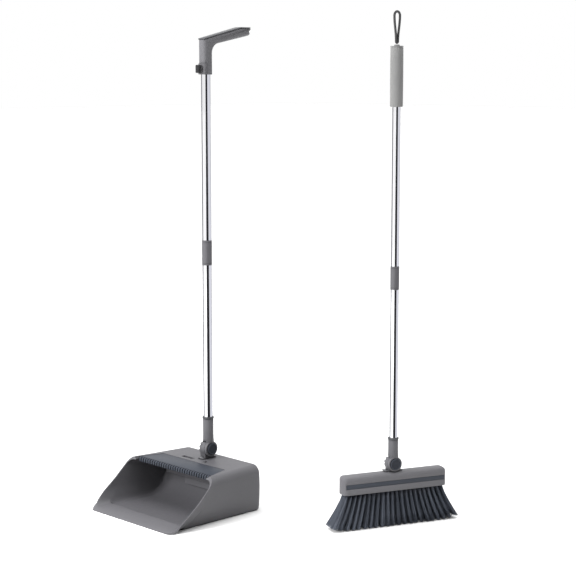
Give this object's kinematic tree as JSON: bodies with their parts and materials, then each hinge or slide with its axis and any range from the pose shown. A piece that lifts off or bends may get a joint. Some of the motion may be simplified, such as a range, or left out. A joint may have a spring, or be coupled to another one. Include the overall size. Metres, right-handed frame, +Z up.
{
  "type": "dust pan and broom set",
  "caption": "Upright lidless dust pan with a cleaning comb and a stand-up handle, and a separate broom, both on chromed tubes with folding, locking hinges.",
  "frame": {"origin": "on the pan's flat underside, straight below the pan's tube", "axes": "+Z up along the pan's tube; -Y out of the pan's mouth; +X along the hinge towards its release button, on the broom's side"},
  "size_m": [0.5671, 0.5012, 0.99],
  "materials": {
    "grey_plastic": "satin moulded grey, finely textured",
    "slate_plastic": "satin moulded blue-grey",
    "dark_plastic": "semi-gloss dark grey",
    "chrome": "bright chromed steel tube",
    "steel": "zinc-plated steel",
    "bristle": "tufted synthetic fibre",
    "foam": "fine-celled foam sleeve",
    "rubber": "matt rubber"
  },
  "bodies": {
    "pan": {"pan_body": "grey_plastic", "pan_base_cover": "grey_plastic", "pan_cover_screw_1": "steel", "pan_cover_screw_2": "steel", "pan_cover_screw_3": "steel", "pan_cover_screw_4": "steel", "pan_comb": "slate_plastic", "pan_baffle": "grey_plastic", "pan_hinge_bracket": "grey_plastic", "pan_bracket_screw_1": "steel", "pan_bracket_screw_2": "steel", "pan_hinge_pin": "steel", "pan_lock_gear": "dark_plastic", "pan_lock_spring": "steel"},
    "pan_handle": {"pan_socket": "grey_plastic", "pan_socket_ring": "dark_plastic", "pan_lower_tube": "chrome", "pan_tube_coupling": "grey_plastic", "pan_upper_tube": "chrome", "pan_hand_grip": "grey_plastic", "pan_grip_strip": "dark_plastic", "pan_clip_collar": "grey_plastic", "pan_clip_pad": "rubber"},
    "pan_button": {"pan_release_button": "slate_plastic"},
    "broom_head": {"broom_block": "grey_plastic", "broom_bristle_plate": "slate_plastic", "broom_front_stripe": "slate_plastic", "broom_rear_stripe": "slate_plastic", "broom_bristles": "bristle", "broom_hinge_bracket": "grey_plastic", "broom_bracket_screw_1": "steel", "broom_bracket_screw_2": "steel", "broom_hinge_pin": "steel", "broom_lock_gear": "dark_plastic", "broom_lock_spring": "steel"},
    "broom_handle": {"broom_socket": "grey_plastic", "broom_socket_ring": "dark_plastic", "broom_lower_tube": "chrome", "broom_tube_coupling": "grey_plastic", "broom_upper_tube": "chrome", "broom_foam_grip": "foam", "broom_end_cap": "grey_plastic", "broom_hanging_loop": "dark_plastic"},
    "broom_button": {"broom_release_button": "slate_plastic"}
  },
  "joints": [
    {"name": "pan_fold", "type": "hinge", "parent": "pan", "child": "pan_handle", "pos_m": [0, 0, 0.114], "axis": [1, 0, 0], "range_deg": [-85, 90]},
    {"name": "pan_button_press", "type": "slide", "parent": "pan_handle", "child": "pan_button", "axis": [-1, 0, 0], "range_m": [0, 0.002], "stiffness_N_per_m": 800, "springref_m": -0.002},
    {"name": "broom_lift", "type": "slide", "parent": "pan", "child": "broom_head", "axis": [0, 0, 1], "range_m": [0, 0.3]},
    {"name": "broom_fold", "type": "hinge", "parent": "broom_head", "child": "broom_handle", "pos_m": [0.364, 0.159, 0.1205], "axis": [0.9311, -0.3649, 0], "range_deg": [-90, 90]},
    {"name": "broom_button_press", "type": "slide", "parent": "broom_handle", "child": "broom_button", "axis": [-0.9311, 0.3649, 0], "range_m": [0, 0.002], "stiffness_N_per_m": 800, "springref_m": -0.002}
  ]
}
